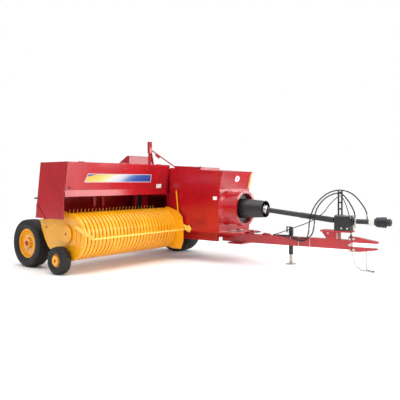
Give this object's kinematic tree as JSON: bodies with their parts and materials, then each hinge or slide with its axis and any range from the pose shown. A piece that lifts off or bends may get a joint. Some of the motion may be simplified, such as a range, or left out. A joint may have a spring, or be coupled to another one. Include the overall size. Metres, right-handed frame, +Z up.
{
  "type": "square baler",
  "caption": "Towed small square baler with a wide side pickup, cross feeder housing, bale case, flywheel drive line, swinging tongue, clevis hitch and parking jack.",
  "frame": {"origin": "on the ground under the middle of the machine's bounding box", "axes": "+X points forward to the tractor, +Y to the machine's left, +Z up"},
  "size_m": [5.2829, 2.99, 1.9],
  "materials": {
    "red_enamel": "glossy red enamel",
    "yellow_enamel": "semi-gloss yellow enamel",
    "black_enamel": "satin black enamel",
    "tyre_rubber": "matt black rubber",
    "black_plastic": "dark grey guard plastic",
    "bright_steel": "zinc plated steel",
    "cast_iron": "dull cast iron",
    "hose_rubber": "black hose rubber"
  },
  "bodies": {
    "chassis": {"bale_case": "red_enamel", "upper_tension_rail": "red_enamel", "lower_tension_rail": "red_enamel", "knotter_stack": "cast_iron", "needle_frame": "red_enamel", "end_panel": "red_enamel", "roof_panel": "red_enamel", "rear_panel": "red_enamel", "feeder_deck": "red_enamel", "hood_end_panel": "red_enamel", "feeder_forks": "red_enamel", "feeder_drive_case": "red_enamel", "feeder_yoke": "red_enamel", "plunger_housing": "red_enamel", "gearbox": "cast_iron", "flywheel_collar": "red_enamel", "bell_guard": "black_plastic", "main_frame": "red_enamel", "axle_beam": "red_enamel", "left_axle": "red_enamel", "twine_box": "red_enamel"},
    "right_wheel": {"right_tyre": "tyre_rubber", "right_rim": "yellow_enamel"},
    "left_wheel": {"left_tyre": "tyre_rubber", "left_rim": "yellow_enamel"},
    "hood": {"front_hood": "red_enamel"},
    "knotter_lid": {"knotter_shield": "red_enamel"},
    "housing_lid": {"top_lid": "red_enamel"},
    "twine_lid": {"twine_box_lid": "red_enamel"},
    "flywheel_shaft": {"flywheel": "cast_iron"},
    "rear_shaft": {"rear_shaft_guard": "black_plastic"},
    "plunger_block": {"plunger": "cast_iron"},
    "tongue": {"tongue_beam": "red_enamel", "tongue_latch": "bright_steel", "hitch_clevis": "red_enamel", "jack_sleeve": "black_enamel", "bearing_stand": "red_enamel", "shaft_shield": "black_enamel", "front_shaft_guard": "black_plastic", "hose_post": "black_enamel", "hydraulic_hose_a": "hose_rubber", "hydraulic_hose_b": "hose_rubber", "wiring_harness": "hose_rubber", "safety_chain": "bright_steel", "coupler_a": "bright_steel", "coupler_b": "bright_steel"},
    "jack": {"jack_leg": "bright_steel"},
    "coupler": {"tractor_coupler": "bright_steel"},
    "pickup": {"pickup_right_plate": "yellow_enamel", "pickup_left_plate": "yellow_enamel", "pickup_cross_tube": "yellow_enamel", "stripper_bands": "yellow_enamel", "gauge_arm": "yellow_enamel", "lift_strap": "yellow_enamel"},
    "reel": {"tine_reel": "cast_iron"},
    "guard": {"wind_guard": "yellow_enamel"},
    "gauge_wheel": {"gauge_tyre": "tyre_rubber", "gauge_rim": "yellow_enamel"}
  },
  "joints": [
    {"name": "right_wheel_spin", "type": "hinge", "parent": "chassis", "child": "right_wheel", "pos_m": [-1.64, -1.28, 0.343], "axis": [0, 1, 0], "continuous": true},
    {"name": "left_wheel_spin", "type": "hinge", "parent": "chassis", "child": "left_wheel", "pos_m": [-1.09, 1.33, 0.394], "axis": [0, 1, 0], "continuous": true},
    {"name": "tongue_swing", "type": "hinge", "parent": "chassis", "child": "tongue", "pos_m": [0.41, 1.077, 0.36], "axis": [0, 0, -1], "range_deg": [0, 20]},
    {"name": "rear_shaft_swing", "type": "hinge", "parent": "chassis", "child": "rear_shaft", "pos_m": [0.96, 0.79, 0.836], "axis": [0, 0, -1], "range_deg": [0, 28.9]},
    {"name": "front_hood_lift", "type": "hinge", "parent": "chassis", "child": "hood", "pos_m": [-0.627, -0.48, 1.497], "axis": [0, -1, 0], "range_deg": [0, 75]},
    {"name": "knotter_shield_lift", "type": "hinge", "parent": "chassis", "child": "knotter_lid", "pos_m": [-1.51, 0.82, 1.672], "axis": [0, 1, 0], "range_deg": [0, 60]},
    {"name": "top_lid_lift", "type": "hinge", "parent": "chassis", "child": "housing_lid", "pos_m": [-0.56, 1.155, 1.44912], "axis": [-0.998, 0, 0.0634], "range_deg": [0, 75]},
    {"name": "twine_lid_lift", "type": "hinge", "parent": "chassis", "child": "twine_lid", "pos_m": [-2.37, 1.0623, 1.3603], "axis": [0, -1, 0], "range_deg": [0, 80]},
    {"name": "flywheel_spin", "type": "hinge", "parent": "chassis", "child": "flywheel_shaft", "pos_m": [0.51, 0.79, 0.836], "axis": [1, 0, 0], "continuous": true},
    {"name": "plunger_stroke", "type": "slide", "parent": "chassis", "child": "plunger_block", "axis": [-1, 0, 0], "range_m": [0, 0.76]},
    {"name": "jack_raise", "type": "slide", "parent": "tongue", "child": "jack", "axis": [0, 0, 1], "range_m": [0, 0.13]},
    {"name": "coupler_spin", "type": "hinge", "parent": "tongue", "child": "coupler", "pos_m": [2.57807, 1.35089, 0.684], "axis": [0.9921, 0.1253, 0], "continuous": true},
    {"name": "pickup_lift", "type": "hinge", "parent": "chassis", "child": "pickup", "pos_m": [-1.22, -0.38, 0.6], "axis": [0, -1, 0], "range_deg": [0, 12]},
    {"name": "reel_spin", "type": "hinge", "parent": "pickup", "child": "reel", "pos_m": [-0.755, -0.38, 0.53], "axis": [0, 1, 0], "continuous": true},
    {"name": "wind_guard_lift", "type": "hinge", "parent": "pickup", "child": "guard", "pos_m": [-0.54, -0.38, 0.64], "axis": [0, -1, 0], "range_deg": [0, 40]},
    {"name": "gauge_wheel_spin", "type": "hinge", "parent": "pickup", "child": "gauge_wheel", "pos_m": [-0.796, -1.415, 0.185], "axis": [0, 1, 0], "continuous": true}
  ],
  "couplings": [
    {"joint": "rear_shaft_swing", "follows": "tongue_swing", "ratio": 1.44}
  ]
}
